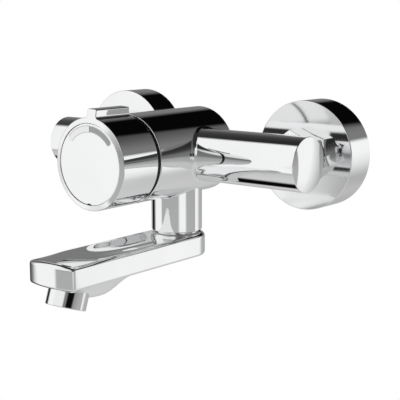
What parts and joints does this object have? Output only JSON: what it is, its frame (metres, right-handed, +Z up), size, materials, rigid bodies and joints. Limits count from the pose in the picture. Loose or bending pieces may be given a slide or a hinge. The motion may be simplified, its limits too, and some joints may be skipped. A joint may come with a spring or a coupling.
{
  "type": "push timed tap",
  "caption": "Chrome wall-mounted self-closing mixer tap: push handle with a temperature lever, round body on arms with wall flanges, and a flat swivel spout.",
  "frame": {"origin": "midpoint between the two wall inlets, on the finished wall face", "axes": "+X to the right seen from the front, +Y into the wall, +Z up; the tap's own axis is 6 mm above the origin"},
  "size_m": [0.2182, 0.1882, 0.1188],
  "materials": {
    "chrome": "mirror-bright plating",
    "brass": "machined",
    "steel": "bright drawn",
    "seal_rubber": "matt",
    "black_plastic": "matt",
    "grey_plastic": "matt",
    "white_plastic": "matt",
    "disc_ceramic": "lapped",
    "red_plastic": "matt",
    "hot_print": "satin inlay",
    "cold_print": "satin inlay"
  },
  "bodies": {
    "tap_body": {"body_casting": "chrome", "inlet_nipple_left": "brass", "inlet_nipple_right": "brass", "union_nut_left": "chrome", "union_nut_right": "chrome", "union_washers": "seal_rubber", "s_union_left": "brass", "s_union_right": "brass", "wall_flange_left": "chrome", "wall_flange_right": "chrome", "check_cage_left": "white_plastic", "check_cage_right": "white_plastic", "check_spring_left": "steel", "check_spring_right": "steel", "port_block": "grey_plastic", "block_seals": "seal_rubber", "port_seals": "seal_rubber", "disc_seals": "seal_rubber", "fixed_disc": "disc_ceramic", "cartridge_housing": "grey_plastic", "gland_nut": "brass", "guide_bush": "black_plastic", "timing_cover": "brass", "return_spring": "steel", "spout_screw": "steel"},
    "temperature_drive": {"mixing_driver": "white_plastic", "mixing_disc": "disc_ceramic", "limit_ring": "red_plastic", "driver_seal": "seal_rubber", "rod_seal": "seal_rubber"},
    "push_handle": {"handle_sleeve": "chrome", "cover_cap": "chrome", "hot_mark": "hot_print", "cold_mark": "cold_print", "handle_screw": "steel", "push_rod": "steel", "valve_poppet": "brass", "poppet_seal": "seal_rubber", "piston_seal": "seal_rubber"},
    "check_left": {"check_poppet_left": "grey_plastic"},
    "check_right": {"check_poppet_right": "grey_plastic"},
    "spout": {"spout_body": "chrome", "spout_stem": "brass", "stem_seals": "seal_rubber", "slide_washer": "white_plastic", "aerator_housing": "chrome", "aerator_insert": "grey_plastic", "aerator_seal": "seal_rubber"}
  },
  "joints": [
    {"name": "temperature_turn", "type": "hinge", "parent": "tap_body", "child": "temperature_drive", "pos_m": [0, -0.09, 0.006], "axis": [0, 1, 0], "range_deg": [-48.5, 41.5]},
    {"name": "handle_push", "type": "slide", "parent": "temperature_drive", "child": "push_handle", "axis": [0, 1, 0], "range_m": [0, 0.002], "stiffness_N_per_m": 2500, "springref_m": -0.004, "deforming": ["return_spring"]},
    {"name": "check_left_lift", "type": "slide", "parent": "tap_body", "child": "check_left", "axis": [0, -1, 0], "range_m": [0, 0.002], "stiffness_N_per_m": 100, "springref_m": -0.002, "deforming": ["check_spring_left"]},
    {"name": "check_right_lift", "type": "slide", "parent": "tap_body", "child": "check_right", "axis": [0, -1, 0], "range_m": [0, 0.002], "stiffness_N_per_m": 100, "springref_m": -0.002, "deforming": ["check_spring_right"]},
    {"name": "spout_swivel", "type": "hinge", "parent": "tap_body", "child": "spout", "pos_m": [0, -0.056, -0.047], "axis": [0, 0, 1], "range_deg": [-60, 60]}
  ]
}
